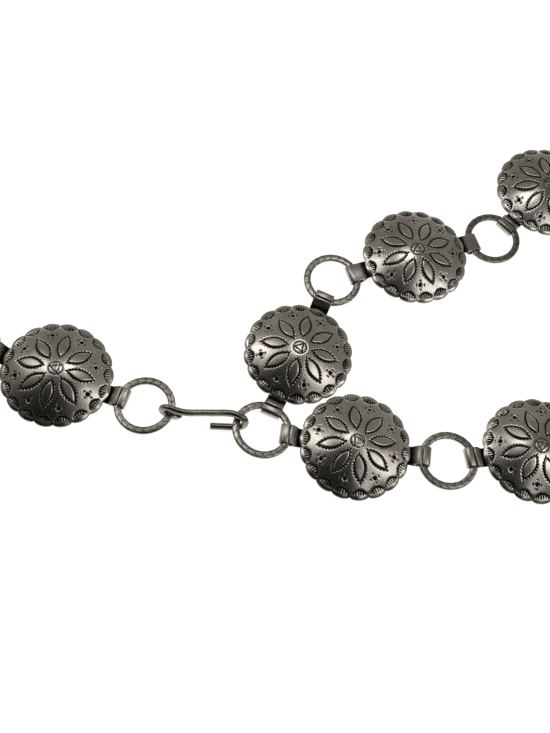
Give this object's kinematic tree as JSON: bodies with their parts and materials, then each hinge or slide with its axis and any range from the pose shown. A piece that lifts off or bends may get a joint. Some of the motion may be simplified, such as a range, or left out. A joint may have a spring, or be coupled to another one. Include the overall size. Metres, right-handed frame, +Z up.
{
  "type": "concho belt",
  "caption": "Belt of domed, scalloped metal discs on back straps, linked by flat rings and fastened by a wire hook, lying flat with a free end.",
  "frame": {"origin": "on the table, under the middle of the belt's bounding box", "axes": "+Z up from the table the belt lies on; X and Y level, with the hook along X near the front (-Y) side"},
  "size_m": [0.3098, 0.2984, 0.0096],
  "materials": {
    "concho_metal": "stamped nickel silver, polished on the high parts and dark in the stamped recesses",
    "ring_metal": "flat nickel silver wire with small chevron stamps, worn satin",
    "hook_metal": "round nickel silver wire, worn satin"
  },
  "bodies": {
    "root": {"concho_01": "concho_metal", "concho_02": "concho_metal", "concho_03": "concho_metal", "concho_04": "concho_metal", "concho_05": "concho_metal", "concho_06": "concho_metal", "concho_07": "concho_metal", "concho_08": "concho_metal", "concho_09": "concho_metal", "concho_10": "concho_metal", "concho_11": "concho_metal", "concho_12": "concho_metal", "concho_13": "concho_metal", "tail_concho_1": "concho_metal", "tail_concho_2": "concho_metal", "hook_ring": "ring_metal", "ring_01": "ring_metal", "ring_02": "ring_metal", "ring_03": "ring_metal", "ring_04": "ring_metal", "ring_05": "ring_metal", "ring_06": "ring_metal", "ring_07": "ring_metal", "ring_08": "ring_metal", "ring_09": "ring_metal", "ring_10": "ring_metal", "ring_11": "ring_metal", "ring_12": "ring_metal", "ring_13": "ring_metal", "tail_ring": "ring_metal", "hook": "hook_metal"}
  },
  "joints": []
}
